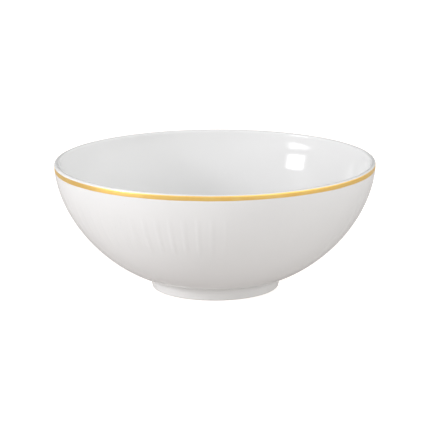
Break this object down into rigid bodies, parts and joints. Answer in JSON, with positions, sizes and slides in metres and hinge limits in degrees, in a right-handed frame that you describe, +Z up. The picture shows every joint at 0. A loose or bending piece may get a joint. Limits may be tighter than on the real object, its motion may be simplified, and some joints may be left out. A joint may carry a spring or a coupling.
{
  "type": "serving bowl",
  "caption": "Round white porcelain serving bowl with a deep curved wall, a low foot ring under it and a fired gold line round the outside of its rim.",
  "frame": {"origin": "centre of the circle that the bowl stands on, at the level of its standing face", "axes": "+Z up along the bowl's axis of revolution, towards its mouth; X and Y lie in the plane that it stands on and are interchangeable"},
  "size_m": [0.23, 0.23, 0.092],
  "materials": {
    "porcelain": "gloss",
    "gold": "polished"
  },
  "bodies": {
    "root": {"bowl_body": "porcelain", "foot_joint_slip": "porcelain", "foot_ring": "porcelain", "gold_rim_band": "gold"}
  },
  "joints": []
}
